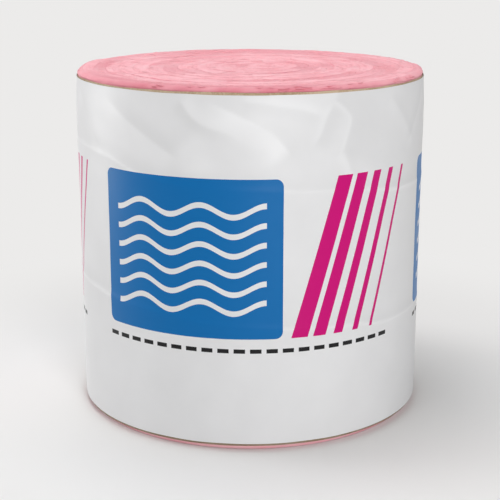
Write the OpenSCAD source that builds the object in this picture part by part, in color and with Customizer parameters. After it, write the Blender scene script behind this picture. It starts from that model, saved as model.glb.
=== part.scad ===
// Roll of glass wool insulation, faced with kraft paper and held in a film wrap.
// The roll stands on its end. Origin: centre of its foot, on the floor. +Z up. Millimetres.

/* [Batt] */
// Width of the batt, which is the height of the standing roll
batt_width = 584; // [300:1:1250]
// Length of the batt that is wound into the roll
batt_length = 11938; // [7000:1:16000]

/* [Rolled wool] */
// Diameter of the rolled wool, inside its facing
wool_d = 588; // [480:1:680]
// Rounding of the wool at the top, where it swells out of the wrap
shoulder_r = 12; // [4:0.5:20]
// Rounding of the wool at the foot
foot_r = 10; // [4:0.5:20]

/* [Turns on the ends] */
// Rounding of the two lips where one turn presses on the next
lip_r = 5; // [2:0.25:6]
// Width of the slit between the lips
slit_w = 0.8; // [0.4:0.1:2]
// Depth of the slit at the top
top_slit_depth = 11; // [6:0.5:20]
// Depth of the slit at the foot, where the roll's weight presses the turns flat
foot_slit_depth = 8; // [6:0.5:20]

/* [Kraft facing] */
// Thickness of the facing
facing_t = 0.6; // [0.3:0.1:2]
// Height of the facing's lower edge above the floor
facing_foot = 10; // [2:0.5:40]
// Depth of the facing's upper edge below the top of the wool
facing_drop = 6.5; // [1:0.5:40]
// Length by which the facing's loose end laps over its outer turn
facing_lap = 60; // [20:1:200]

/* [Film wrap] */
// Thickness of the film
film_t = 0.6; // [0.3:0.1:2]
// Height of the film's lower edge above the floor
film_foot = 13; // [2:0.5:60]
// Depth of the film's upper edge below the top of the wool
film_drop = 12; // [1:0.5:60]
// Length by which the film laps over its own end
film_lap = 90; // [20:1:200]

/* [Fit] */
// Clearance between one layer and the next
layer_gap = 0.3; // [0.1:0.05:1]

/* [Hidden] */
$fn = 128;

// The area of the roll's end is that of the batt's rolled edge, which gives the pitch of the turns.
// The pitch is a whole number of these steps, so that half turns about different centres meet.
pitch_step = 0.04;
wool_r = wool_d / 2;
turn_pitch = round(PI * wool_r * wool_r / batt_length / pitch_step) * pitch_step;

// A wound sheet is a spiral of half turns about two centres, one on each side of the axis.
// Each half turn starts where the last one ends, and is wider by half a pitch.
half_pitch = turn_pitch / 2;
slit_end_r = wool_r - max(shoulder_r, foot_r) - lip_r - slit_w;
half_turns = floor((slit_end_r - half_pitch / 2) / half_pitch);

// The lips rise past the flat of a turn by this share of their radius, so they meet it at a soft edge
lip_rise = 0.1;
// How far a cut runs past the face that it cuts
cut_over = 2;

// Where each layer starts, from the wool outwards. A lapped layer is two sheets thick.
facing_r = wool_r + layer_gap;
film_r = facing_r + 2 * (facing_t + layer_gap);

// Directions of the lapped ends, on the back of the roll
facing_lap_at = 130;
film_lap_at = 80;

// What a rounding takes off a square corner, with the rounding's centre at the origin
module corner_waste(r) {
    difference() {
        square(r + cut_over);
        circle(r);
    }
}

// Section of the rolled wool, from its axis outwards
module wool_section() {
    difference() {
        square([wool_r, batt_width]);
        translate([wool_r - foot_r, foot_r]) mirror([0, 1]) corner_waste(foot_r);
        translate([wool_r - shoulder_r, batt_width - shoulder_r]) corner_waste(shoulder_r);
    }
}

// Section of the crease between two turns: a slit that opens between round lips, with its mouth at y = 0
module crease_section(depth) {
    lip_x = lip_r + slit_w / 2;
    lip_y = lip_r * (lip_rise - 1);
    difference() {
        translate([-lip_x, lip_y]) square([2 * lip_x, cut_over - lip_y]);
        for (side = [-1, 1])
            translate([side * lip_x, lip_y]) circle(lip_r);
    }
    translate([-slit_w / 2, -depth]) square([slit_w, depth]);
}

// The half turns of the crease on one side of the roll, which share a centre
module crease_side(side, depth) {
    translate([-side * half_pitch / 2, 0, 0])
        rotate([0, 0, 90 - side * 90])
            rotate_extrude(angle = 180)
                for (turn = [(3 - side) / 2 : 2 : half_turns])
                    translate([turn * half_pitch, 0]) crease_section(depth);
}

module wool_roll() {
    color("#f7b3bb")
        difference() {
            rotate_extrude() wool_section();
            translate([0, 0, batt_width]) crease_side(1, top_slit_depth);
            translate([0, 0, batt_width]) crease_side(-1, top_slit_depth);
            mirror([0, 0, 1]) crease_side(1, foot_slit_depth);
            mirror([0, 0, 1]) crease_side(-1, foot_slit_depth);
        }
}

// One turn of a thin sheet that starts at start_r and laps over its own start, from height low to high
module lapped_sheet(start_r, sheet_t, lap, low, high) {
    step = (sheet_t + layer_gap) / 2;
    lap_angle = lap / start_r * 180 / PI;
    // Each arc: start angle, sweep, side of the axis, steps out from the first arc
    for (arc = [[0, 180, 1, 0], [180, 180, -1, 1], [0, lap_angle, 1, 2]])
        translate([-arc[2] * step / 2, 0, low])
            rotate([0, 0, arc[0]])
                rotate_extrude(angle = arc[1])
                    translate([start_r + step / 2 + arc[3] * step, 0]) square([sheet_t, high - low]);
}

module kraft_facing() {
    color("#b49a78")
        rotate([0, 0, facing_lap_at])
            lapped_sheet(facing_r, facing_t, facing_lap, facing_foot, batt_width - facing_drop);
}

module film_wrap() {
    color("#eeeeee")
        rotate([0, 0, film_lap_at])
            lapped_sheet(film_r, film_t, film_lap, film_foot, batt_width - film_drop);
}

wool_roll();
kraft_facing();
film_wrap();
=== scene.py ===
"""Roll of glass wool insulation that stands on its end: wound wool, kraft facing and printed film wrap.

Sizes are in metres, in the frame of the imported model: +Z up, with the origin at the centre of the foot.
A bearing is an angle round the roll, in degrees from its front (-Y) towards +X.
"""

import math
from functools import partial
from typing import NamedTuple

import bpy
import numpy as np
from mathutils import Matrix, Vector, noise


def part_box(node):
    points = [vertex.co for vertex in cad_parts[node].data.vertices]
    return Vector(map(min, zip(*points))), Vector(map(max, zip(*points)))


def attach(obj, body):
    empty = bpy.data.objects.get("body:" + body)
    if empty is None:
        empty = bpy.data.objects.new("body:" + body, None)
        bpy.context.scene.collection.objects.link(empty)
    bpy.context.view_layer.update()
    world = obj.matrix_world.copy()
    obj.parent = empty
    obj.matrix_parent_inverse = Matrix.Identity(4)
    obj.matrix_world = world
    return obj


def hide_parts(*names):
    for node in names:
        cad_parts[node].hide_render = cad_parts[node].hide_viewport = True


bl_info = {
    "name": "Insulation roll",
    "version": (1, 0, 0),
    "blender": (4, 5, 0),
    "location": "View3D > Sidebar > Insulation roll",
    "description": "Dresses a packed roll of faced insulation with wool, paper and printed film",
    "category": "Add Mesh",
}

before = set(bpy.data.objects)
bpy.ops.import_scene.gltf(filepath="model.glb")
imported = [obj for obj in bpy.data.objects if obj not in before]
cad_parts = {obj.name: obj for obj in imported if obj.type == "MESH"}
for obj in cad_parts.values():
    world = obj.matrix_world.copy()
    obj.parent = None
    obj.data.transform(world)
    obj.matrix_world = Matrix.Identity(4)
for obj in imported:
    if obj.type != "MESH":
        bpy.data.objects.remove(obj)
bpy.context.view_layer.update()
WOOL_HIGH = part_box("wool_roll")[1]
FACING_LOW, FACING_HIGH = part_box("kraft_facing")
FILM_LOW, FILM_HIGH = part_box("film_wrap")

MM = 0.001
TURN = 2 * math.pi


def linear(hex_colour):
    """An sRGB hex colour as linear red, green and blue."""
    shares = [int(hex_colour[i : i + 2], 16) / 255 for i in (1, 3, 5)]
    return tuple(s / 12.92 if s <= 0.04045 else ((s + 0.055) / 1.055) ** 2.4 for s in shares)


def measure(name, description, default, unit="LENGTH"):
    """A number with its unit, a length in metres if no other unit is given."""
    return bpy.props.FloatProperty(name=name, description=description, default=default, min=0, unit=unit)


def tint(name, description, hex_colour):
    """A colour, given as an sRGB hex value."""
    return bpy.props.FloatVectorProperty(
        name=name, description=description, default=linear(hex_colour), min=0, max=1, subtype="COLOR"
    )


class WoolSettings(bpy.types.PropertyGroup):
    """Sizes and colours of the wound wool."""

    radius: measure("Radius", "Radius of the wool inside its facing", WOOL_HIGH.x)
    height: measure("Height", "Height of the standing roll", WOOL_HIGH.z - 0.2 * MM)
    batt_length: measure("Batt length", "Length of the batt that is wound up", 11.938)
    shoulder_width: measure("Shoulder width", "How far in the top edge is rounded", 9.5 * MM)
    shoulder_height: measure("Shoulder height", "How far down the top edge is rounded", 10 * MM)
    foot_width: measure("Foot width", "How far in the lower edge is rounded", 6 * MM)
    foot_height: measure("Foot height", "How far up the lower edge is rounded", 8 * MM)
    swell: measure("Swell", "How far the top edge swells out over the facing", 3.4 * MM)
    crease_depth: measure("Crease depth", "Depth of the crease between two turns", 6 * MM)
    lip_radius: measure("Lip radius", "Rounding of a turn towards its crease", 4 * MM)
    unevenness: measure("Unevenness", "How far a turn may sit below the next one", 3.4 * MM)
    wander: measure("Wander", "How far a turn strays from its spiral", 9 * MM)
    light: tint("Loose wool", "Colour where the wool is loose", "#FFC9D0")
    middle: tint("Wool", "Main colour of the wool", "#FEB8C1")
    # The pressed wool colour is painted shade, laid in the creases and on the rims that face away from the
    # light
    deep: tint("Pressed wool", "Colour where turns press on each other", "#D27180")


class FibreSettings(bpy.types.PropertyGroup):
    """Loose strands and torn tufts on the wool."""

    strand_length: measure("Strand length", "Usual length of a loose strand", 34 * MM)
    strand_radius: measure("Strand radius", "Half the thickness of a loose strand", 0.22 * MM)
    strand_density: measure("Strands", "Loose strands per square metre", 5200, "NONE")
    tuft_length: measure("Tuft length", "Half the length of a torn tuft", 9 * MM)
    tuft_density: measure("Tufts", "Torn tufts per square metre of the rim", 20000, "NONE")


class FacingSettings(bpy.types.PropertyGroup):
    """Sizes and colour of the kraft facing."""

    radius: measure("Radius", "Outer radius", (FACING_HIGH.x - FACING_LOW.x) / 2)
    foot: measure("Foot", "Height of the lower edge", FACING_LOW.z - 2.5 * MM)
    top: measure("Top", "Height of the upper edge", FACING_HIGH.z - 1.3 * MM)
    thickness: measure("Thickness", "Thickness of the paper", 0.5 * MM)
    lap: measure("Lap", "Length by which the loose end laps over", 60 * MM)
    paper: tint("Paper", "Colour of the kraft paper", "#CCB69A")
    fleck: tint("Fleck", "Colour of its darker fibres", "#A58B69")


class FilmSettings(bpy.types.PropertyGroup):
    """Sizes and colours of the film wrap and its print."""

    radius: measure("Radius", "Outer radius", (FILM_HIGH.x - FILM_LOW.x) / 2)
    foot: measure("Foot", "Height of the lower edge", FILM_LOW.z - 1.5 * MM)
    top: measure("Top", "Height of the upper edge", FILM_HIGH.z + 0.6 * MM)
    thickness: measure("Thickness", "Thickness of the film", 0.4 * MM)
    lap: measure("Lap", "Length by which the film laps over its own end", 90 * MM)
    white: tint("Film", "Colour of the bare film", "#EDEDEE")
    blue: tint("Blue ink", "Colour of the panels", "#006CB0")
    magenta: tint("Magenta ink", "Colour of the slanting bars", "#CF0077")
    dark: tint("Dark ink", "Colour of the dashes", "#121214")


class StageSettings(bpy.types.PropertyGroup):
    """Camera and floor."""

    camera_distance: measure("Camera distance", "From the roll's axis", 2.1705)
    camera_height: measure("Camera height", "Above the floor", 0.8284)
    camera_pitch: measure("Camera pitch", "How far it looks down", math.radians(14.78), "ROTATION")
    lens: measure("Lens", "Focal length", 90.5, "CAMERA")
    floor: tint("Floor", "Colour of the floor", "#ECEBEA")


# The kinds of node that occur most
MATH = "ShaderNodeMath"
VECTOR = "ShaderNodeVectorMath"
RANGE = "ShaderNodeMapRange"
NOISE = "ShaderNodeTexNoise"
COMBINE = "ShaderNodeCombineXYZ"
SEPARATE = "ShaderNodeSeparateXYZ"
MIX = "ShaderNodeMix"
BUMP = "ShaderNodeBump"
ATTRIBUTE = "ShaderNodeAttribute"
COORDINATES = "ShaderNodeTexCoord"
PRINCIPLED = "ShaderNodeBsdfPrincipled"
SURFACE = "ShaderNodeOutputMaterial"
POSITION = "GeometryNodeInputPosition"
SET_POSITION = "GeometryNodeSetPosition"
SET_MATERIAL = "GeometryNodeSetMaterial"
STORE = "GeometryNodeStoreNamedAttribute"
GRID = "GeometryNodeMeshGrid"
REALIZE = "GeometryNodeRealizeInstances"
COMPARE = "FunctionNodeCompare"
RANDOM = "FunctionNodeRandomValue"
GROUP_OUTPUT = "NodeGroupOutput"
# Settings of a Map Range node that eases in and out, and of a Mix node for colours
SMOOTH = {"interpolation_type": "SMOOTHSTEP"}
COLOUR = {"data_type": "RGBA"}
# Most of a noise's values lie in this span, about its middle
NOISE_SPAN = (0.3, 0.7)
NOISE_MIDDLE = (0.5, 0.5, 0.5)
# The way up, and what keeps the level part of a place
UP = (0.0, 0.0, 1.0)
LEVEL = (1.0, 1.0, 0.0)


def add_node(tree, kind, inputs=(), operation=None, **settings):
    """Adds a node with its settings. Its inputs are values, sockets or nodes, in order or by name."""
    node = tree.nodes.new(kind)
    if operation:
        node.operation = operation
    for name, value in settings.items():
        setattr(node, name, value)
    given = inputs if isinstance(inputs, dict) else dict(enumerate(inputs))
    for key, value in given.items():
        if isinstance(value, bpy.types.Node):
            value = next(socket for socket in value.outputs if socket.enabled)
        if isinstance(value, bpy.types.NodeSocket):
            tree.links.new(value, node.inputs[key])
        else:
            node.inputs[key].default_value = value
    return node


def new_tree(name, **inputs):
    """A Geometry Nodes tree with inputs of each kind, its input sockets, and what adds nodes to it."""
    tree = bpy.data.node_groups.new(name, "GeometryNodeTree")
    for kind, labels in inputs.items():
        for label in labels:
            tree.interface.new_socket(name=label, in_out="INPUT", socket_type="NodeSocket" + kind)
    tree.interface.new_socket(name="Geometry", in_out="OUTPUT", socket_type="NodeSocketGeometry")
    return tree, tree.nodes.new("NodeGroupInput").outputs, partial(add_node, tree)


def new_material(name):
    """An empty material, and what adds nodes to it."""
    material = bpy.data.materials.new(name)
    material.use_nodes = True
    material.node_tree.nodes.clear()
    return material, partial(add_node, material.node_tree)


def about_axis(add, place):
    """How far a place is from the roll's axis, the way out from the axis to it, and its X, Y and Z."""
    level = add(VECTOR, [place, LEVEL], "MULTIPLY")
    away = add(VECTOR, [level], "LENGTH")
    outward = add(VECTOR, [level], "NORMALIZE")
    return away, outward, add(SEPARATE, [place]).outputs


def grown_mesh(name, tree, values, base=None):
    """The plain mesh that a tree makes from a base mesh and named input values."""
    maker = bpy.data.objects.new(name, base or bpy.data.meshes.new(name))
    bpy.context.scene.collection.objects.link(maker)
    modifier = maker.modifiers.new(name, "NODES")
    modifier.node_group = tree
    for item in tree.interface.items_tree:
        if item.in_out == "INPUT" and item.name in values:
            modifier[item.identifier] = values[item.name]
    bpy.context.view_layer.update()
    evaluated = maker.evaluated_get(bpy.context.evaluated_depsgraph_get())
    mesh = bpy.data.meshes.new_from_object(evaluated)
    maker.modifiers.remove(modifier)
    bpy.data.objects.remove(maker)
    mesh.name = name
    mesh.materials.clear()
    mesh.materials.append(values["Material"])
    return mesh


def show_piece(name, mesh):
    """Puts a finished mesh in the scene as a piece of the roll."""
    piece = bpy.data.objects.new(name, mesh)
    bpy.context.scene.collection.objects.link(piece)
    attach(piece, "root")
    return piece


# How the wound wool is sampled: points round each turn, across a turn at the top and at the foot
STEPS_PER_TURN = 240
STEPS_ACROSS_TOP = 13
STEPS_ACROSS_FOOT = 8
WALL_ROWS = 60
# Points nearer to the axis than this are one point, so that the core closes
AXIS_RADIUS = 1.2 * MM
# Half the width of a crease's flat floor, where two turns meet at one height
CREASE_FLOOR = 0.03 * MM
# How fast a crease opens and closes, and a turn rises and sinks, along the spiral
CREASE_CHANGE = 1.7
LEVEL_CHANGE = 2.3
# A crease opens over this span of its noise. Shut, or beside the flat core, it keeps a share of its depth.
OPENING_SPAN = (0.34, 0.56)
SHUT_SHARE = 0.06
BESIDE_SHARE = 0.14
# How much painted shade darkens the wool: on low turns, on the last turns behind and in front, and on the
# wall. The first fades over a span of a noise, and the next two over a length in from the rim and a span
# round it.
LOW_SHADE = 0.165
LOW_SPAN = (0.48, 0.64)
BACK_SHADE = 0.18
BACK_FADE = (45 * MM, 95 * MM)
BACK_SPAN = (0.5, 0.9)
FRONT_SHADE = 0.26
FRONT_FADE = (10 * MM, 38 * MM)
FRONT_SPAN = (-0.9, -0.4)
FRONT_LEAN = 0.35
WALL_SHADE = (0.24, 0.36)
# Above the facing's edge the wool swells out over this height, and its top sags by this much
SWELL_SPAN = (1.5 * MM, 4.5 * MM)
SAG_SPAN = (0.2 * MM, -1.0 * MM)
# Two places where the rim stands fuller, as (x, y) and a reach
FULL_RISE = 1.9 * MM
FULL_CORE = 10 * MM
FULL_PLACES = (((-0.285, 0.065), 75 * MM), ((0.299, 0.01), 45 * MM))
# Sizes that both ends of the roll share, those of its rounded edges, and all that only the roll has
TURN_SIZES = ("Crease depth", "Lip radius", "Unevenness", "Wander")
EDGE_SIZES = ("Shoulder width", "Shoulder height", "Foot width", "Foot height")
ROLL_SIZES = ("Radius", "Height", "Swell", *EDGE_SIZES)
WOOL_SEED = 3.7
# Points closer than this are welded
WELD = 0.008 * MM
# Lengths of loose strands and torn tufts, as shares of the usual one
SHORTEST = 0.35
LONGEST_STRAND = 1.5
# How far, in radians, a strand or a tuft may lie across its turn
STRAND_SPREAD = 0.7
TUFT_SPREAD = 0.5
# How far in strands keep from the rim, and how far down tufts go, as shares of the rounded shoulder
STRAND_INSET = 1.5
TUFT_DROP = 0.75
# A tuft's length, width and thickness, as shares of its length
TUFT_SHAPE = (1.0, 0.36, 0.1)
# The way out to the side of the rim that is torn most
TORN_SIDE = (0.62, -0.78, 0.0)


def wound_end_tree():
    """One end of the roll: a strip that is wound in a spiral, with round lips and a crease between turns.

    The strip runs along the spiral, so its mesh follows each turn. Relief only goes down from z = 0.
    """
    tree, given, add = new_tree(
        "Wound end",
        Float=("Flat radius", "Turn pitch", "Seed", *TURN_SIZES),
        Int=("Turns", "Columns", "Rows"),
    )
    grid = add(GRID, {"Vertices X": given["Columns"], "Vertices Y": given["Rows"]})
    place = add(SEPARATE, [add(POSITION)])
    turns_in = add(RANGE, [place.outputs["X"], -0.5, 0.5, 0.0, given["Turns"]], clamp=False)
    share = add(MATH, [place.outputs["Y"], 0.5], "ADD")

    # Rows crowd at both edges of the strip, where the lips are
    crowding = 0.75
    wave = add(MATH, [add(MATH, [share, TURN], "MULTIPLY")], "SINE")
    crowded = add(MATH, [wave, -crowding / TURN, share], "MULTIPLY_ADD")

    # The strip starts folded up at the axis, and its last turn is cut off by the flat's edge
    strip = add(MATH, [turns_in, 1.0], "SUBTRACT")
    out = add(MATH, [strip, crowded], "ADD")
    spread = add(MATH, [out, given["Turn pitch"]], "MULTIPLY")
    kept = add(MATH, [spread, AXIS_RADIUS], "GREATER_THAN")
    closed = add(MATH, [spread, kept], "MULTIPLY")
    radius = add(MATH, [closed, given["Flat radius"]], "MINIMUM")
    across = add(MATH, [add(MATH, [radius, given["Turn pitch"]], "DIVIDE"), strip], "SUBTRACT")
    angle = add(MATH, [turns_in, TURN, -TURN / 4], "MULTIPLY_ADD")
    cosine = add(MATH, [angle], "COSINE")
    sine = add(MATH, [angle], "SINE")
    flat = add(VECTOR, {0: add(COMBINE, [cosine, sine, 0.0]), "Scale": radius}, "SCALE")

    # Lips: a quarter circle from the crease up to the flat of the turn
    other_side = add(MATH, [1.0, across], "SUBTRACT")
    nearest = add(MATH, [across, other_side], "MINIMUM")
    from_crease = add(MATH, [nearest, given["Turn pitch"]], "MULTIPLY")
    to_flat = add(RANGE, [from_crease, CREASE_FLOOR, given["Lip radius"], 1.0, 0.0])
    squared = add(MATH, [to_flat, 2.0], "POWER")
    lip = add(MATH, [add(MATH, [1.0, squared], "SUBTRACT")], "SQRT")

    # A crease opens and closes along its length, and each turn sits at its own height
    outer_crease = add(MATH, [across, 0.5], "GREATER_THAN")
    crease = add(MATH, [strip, outer_crease], "ADD")
    along_crease = add(MATH, [crease, CREASE_CHANGE, given["Seed"]], "MULTIPLY_ADD")
    opening = add(NOISE, {"W": along_crease, "Scale": 1.0, "Detail": 1.0}, noise_dimensions="1D")
    ajar = add(RANGE, [opening, *OPENING_SPAN, SHUT_SHARE, 1.0])
    # The core is folded flat along X, so the turns press harder before and behind it than beside it
    ahead = add(MATH, [sine, 2.0], "POWER")
    squarely = 0.8
    squeezed_here = add(RANGE, [ahead, 0.0, squarely, BESIDE_SHARE, 1.0])
    opened = add(MATH, [ajar, squeezed_here], "MULTIPLY")
    depth = add(MATH, [opened, given["Crease depth"]], "MULTIPLY")
    along_turn = add(MATH, [turns_in, LEVEL_CHANGE, given["Seed"]], "MULTIPLY_ADD")
    level = add(NOISE, {"W": along_turn, "Scale": 1.0}, noise_dimensions="1D")
    sunk = add(MATH, [level, given["Unevenness"]], "MULTIPLY")
    relief = add(MIX, {0: lip, 2: depth, 3: sunk})

    # Relief and wander fade out at the axis and on the outermost turn, which swells into one smooth rim
    rim_width = 14 * MM
    rim_fade = 22 * MM
    core_fade = 8 * MM
    inner = add(RANGE, [radius, 0.0, core_fade, 0.0, 1.0], **SMOOTH)
    rim = add(MATH, [given["Flat radius"], radius], "SUBTRACT")
    outer = add(RANGE, [rim, rim_width, rim_width + rim_fade, 0.0, 1.0], **SMOOTH)
    mask = add(MATH, [inner, outer], "MULTIPLY")
    fall = add(MATH, [relief, mask], "MULTIPLY")

    # Turns stray from the spiral, and the first ones are folded flat into a lens beside the axis
    bends_per_metre = 6.0
    bends = {"Vector": flat, "W": given["Seed"], "Scale": bends_per_metre, "Detail": 1.0}
    stray = add(NOISE, bends, noise_dimensions="4D")
    centred = add(VECTOR, [stray.outputs["Color"], NOISE_MIDDLE], "SUBTRACT")
    reach = add(MATH, [add(MATH, [outer, given["Wander"]], "MULTIPLY"), 2.0], "MULTIPLY")
    strayed = add(VECTOR, {0: centred, "Scale": reach}, "SCALE")
    wandered = add(VECTOR, [flat, strayed], "ADD")
    lens_reach = 95 * MM
    lens_flatness = 0.5
    core_place = (14 * MM, 9 * MM, 0.0)
    core_reach = 220 * MM
    pull = add(RANGE, [radius, 0.0, core_reach, 1.0, 0.0], **SMOOTH)
    shift = add(VECTOR, {0: core_place, "Scale": pull}, "SCALE")
    squeeze = add(RANGE, [radius, 0.0, lens_reach, 1 - lens_flatness, 1.0], **SMOOTH)
    squeezed = add(VECTOR, [wandered, add(COMBINE, [1.0, squeeze, 0.0])], "MULTIPLY")
    lens = add(VECTOR, [squeezed, shift], "ADD")
    surface = add(VECTOR, [lens, add(COMBINE, [0.0, 0.0, fall])], "SUBTRACT")

    # Painted shade: the wool is darkened in the creases, on turns that sit low, and on the last turns
    # behind and in front
    shut_in = add(MATH, [1.0, lip], "SUBTRACT")
    pressed = add(MATH, [shut_in, add(MATH, [opened, mask], "MULTIPLY")], "MULTIPLY")
    low_turn = add(RANGE, [level, *LOW_SPAN, 0.0, LOW_SHADE])
    last_turns = add(RANGE, [rim, *BACK_FADE, BACK_SHADE, 0.0])
    behind = add(RANGE, [sine, *BACK_SPAN, 0.0, 1.0])
    back_rim = add(MATH, [last_turns, behind], "MULTIPLY")
    last_turn = add(RANGE, [rim, *FRONT_FADE, FRONT_SHADE, 0.0])
    # The painted shade in front leans to the left
    aslant = add(MATH, [cosine, FRONT_LEAN, sine], "MULTIPLY_ADD")
    in_front = add(RANGE, [aslant, *FRONT_SPAN, 1.0, 0.0])
    front_rim = add(MATH, [last_turn, in_front], "MULTIPLY")
    for press in (low_turn, back_rim, front_rim):
        pressed = add(MATH, [pressed, press], "MAXIMUM")
    marked = add(STORE, {"Geometry": grid, "Name": "pressed", "Value": pressed})
    add(GROUP_OUTPUT, [add(SET_POSITION, {"Geometry": marked, "Position": surface})])
    return tree


def wound_roll_tree():
    """The whole roll of wool: a wound end at the top, another at the foot, and the wall between them."""
    tree, given, add = new_tree(
        "Wound roll",
        Float=("Turn pitch", "Seed", *ROLL_SIZES, *TURN_SIZES),
        Int=("Turns",),
        Material=("Material",),
    )
    end_tree = wound_end_tree()
    columns = add(MATH, [given["Turns"], float(STEPS_PER_TURN), 1.0], "MULTIPLY_ADD")
    ends = {}
    for end, rows in (("Shoulder", STEPS_ACROSS_TOP), ("Foot", STEPS_ACROSS_FOOT)):
        sizes = {label: given[label] for label in ("Turn pitch", "Turns", "Seed", *TURN_SIZES)}
        sizes["Flat radius"] = add(MATH, [given["Radius"], given[end + " width"]], "SUBTRACT")
        sizes["Columns"] = columns
        sizes["Rows"] = rows + 1
        ends[end] = add("GeometryNodeGroup", sizes, node_tree=end_tree)

    flipped = add("GeometryNodeFlipFaces", [ends["Shoulder"]])
    raised = add(COMBINE, [0.0, 0.0, given["Height"]])
    top = add("GeometryNodeTransform", {"Geometry": flipped, "Translation": raised})
    # The roll's weight presses the foot's relief flatter, and there it goes up into the roll
    foot_relief = -0.6
    place = add(POSITION)
    from_axis, outward, here = about_axis(add, place)
    flattened = add(VECTOR, [place, (1.0, 1.0, foot_relief)], "MULTIPLY")
    foot = add(SET_POSITION, {"Geometry": ends["Foot"], "Position": flattened})

    # The wall's section: round the foot, up the wall, round the shoulder
    wall = add(GRID, {"Vertices X": STEPS_PER_TURN + 1, "Vertices Y": WALL_ROWS + 1})
    # Share of its rows that lie in each bend
    bend = 0.3
    angle = add(RANGE, [here["X"], -0.5, 0.5, -TURN / 4, 0.75 * TURN])
    foot_bend = add(RANGE, [here["Y"], -0.5, bend - 0.5, 0.0, TURN / 4])
    rise = add(RANGE, [here["Y"], bend - 0.5, 0.5 - bend, 0.0, 1.0])
    top_bend = add(RANGE, [here["Y"], 0.5 - bend, 0.5, 0.0, TURN / 4])
    sines = [add(MATH, [turn], "SINE") for turn in (foot_bend, top_bend, angle)]
    cosines = [add(MATH, [turn], "COSINE") for turn in (foot_bend, top_bend, angle)]
    foot_sine, top_sine, sine = sines
    foot_cosine, top_cosine, cosine = cosines
    foot_in = add(MATH, [add(MATH, [1.0, foot_sine], "SUBTRACT"), given["Foot width"]], "MULTIPLY")
    top_in = add(MATH, [add(MATH, [1.0, top_cosine], "SUBTRACT"), given["Shoulder width"]], "MULTIPLY")
    both_in = add(MATH, [foot_in, top_in], "ADD")
    radius = add(MATH, [given["Radius"], both_in], "SUBTRACT")
    foot_up = add(MATH, [add(MATH, [1.0, foot_cosine], "SUBTRACT"), given["Foot height"]], "MULTIPLY")
    bends = add(MATH, [given["Foot height"], given["Shoulder height"]], "ADD")
    straight = add(MATH, [given["Height"], bends], "SUBTRACT")
    up = add(MATH, [rise, straight, foot_up], "MULTIPLY_ADD")
    height = add(MATH, [top_sine, given["Shoulder height"], up], "MULTIPLY_ADD")
    direction = add(COMBINE, [cosine, sine, 0.0])
    ring = add(VECTOR, {0: direction, "Scale": radius}, "SCALE")
    lifted = add(VECTOR, [ring, add(COMBINE, [0.0, 0.0, height])], "ADD")
    # Painted shade on the wall under the shoulder, in patches and most of all in front
    blotches_per_metre = 30.0
    blotches = add(NOISE, {"Vector": lifted, "Scale": blotches_per_metre, "Detail": 3.0})
    patch = add(RANGE, [blotches, *NOISE_SPAN, *WALL_SHADE])
    shaded_side = (-0.21, -0.98, 0.0)
    side_span = (0.5, 0.9)
    side_share = 0.6
    facing = add(VECTOR, [direction, shaded_side], "DOT_PRODUCT")
    darkest = add(RANGE, [facing, *side_span, side_share, 1.0])
    upright = 0.8
    shoulder_share = 0.75
    face = add(RANGE, [top_cosine, 0.0, upright, shoulder_share, 1.0])
    wall_shade = rise
    for share in (patch, darkest, face):
        wall_shade = add(MATH, [wall_shade, share], "MULTIPLY")
    marked = add(STORE, {"Geometry": wall, "Name": "pressed", "Value": wall_shade})
    walled = add(SET_POSITION, {"Geometry": marked, "Position": lifted})

    join = add("GeometryNodeJoinGeometry")
    for part in (top, foot, walled):
        tree.links.new(part.outputs[0], join.inputs[0])
    welded = add("GeometryNodeMergeByDistance", {"Geometry": join, "Distance": WELD})

    # Above the facing the wool swells out, unevenly, over the facing's edge
    facing_edge = add(MATH, [given["Height"], given["Shoulder height"]], "SUBTRACT")
    swelling = [add(MATH, [facing_edge, rise], "ADD") for rise in SWELL_SPAN]
    above = add(RANGE, [here["Z"], *swelling, 0.0, 1.0], **SMOOTH)
    lumps_per_metre = 22.0
    unevenly = {"Scale": lumps_per_metre, "Detail": 4.0, "Roughness": 0.6}
    lumps = add(NOISE, {"Vector": place, "W": given["Seed"], **unevenly}, noise_dimensions="4D")
    lump = add(RANGE, [lumps, *NOISE_SPAN, 0.0, 1.0])
    sag = add(RANGE, [lumps, *NOISE_SPAN, *SAG_SPAN])
    rim_start = add(MATH, [given["Radius"], given["Shoulder width"]], "SUBTRACT")
    rim_share = add(RANGE, [from_axis, rim_start, given["Radius"], 0.0, 1.0], **SMOOTH)
    push = above
    for share in (given["Swell"], lump, rim_share):
        push = add(MATH, [push, share], "MULTIPLY")
    # The rim stands fuller at two places, one on the left and a smaller one on the right
    for middle, reach in FULL_PLACES:
        spot = add(COMBINE, [*middle, here["Z"]])
        away = add(VECTOR, [place, spot], "DISTANCE")
        fuller = add(RANGE, [away, FULL_CORE, reach, FULL_RISE, 0.0], **SMOOTH)
        sag = add(MATH, [sag, fuller], "ADD")
    dip = add(MATH, [sag, above], "MULTIPLY")
    # The foot is drawn in at both sides of the roll
    drawn_in = -0.018
    low = add(RANGE, [here["Z"], 0.0, given["Foot height"], drawn_in, 0.0], **SMOOTH)
    aside = add(MATH, [here["X"], low], "MULTIPLY")
    pushed = add(VECTOR, {0: outward, "Scale": push}, "SCALE")
    swell = add(VECTOR, [pushed, add(COMBINE, [aside, 0.0, dip])], "ADD")
    full = add(SET_POSITION, {"Geometry": welded, "Offset": swell})
    smooth = add("GeometryNodeSetShadeSmooth", {"Geometry": full})
    dressed = add(SET_MATERIAL, {"Geometry": add(REALIZE, [smooth]), "Material": given["Material"]})
    add(GROUP_OUTPUT, [dressed])
    return tree


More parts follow.
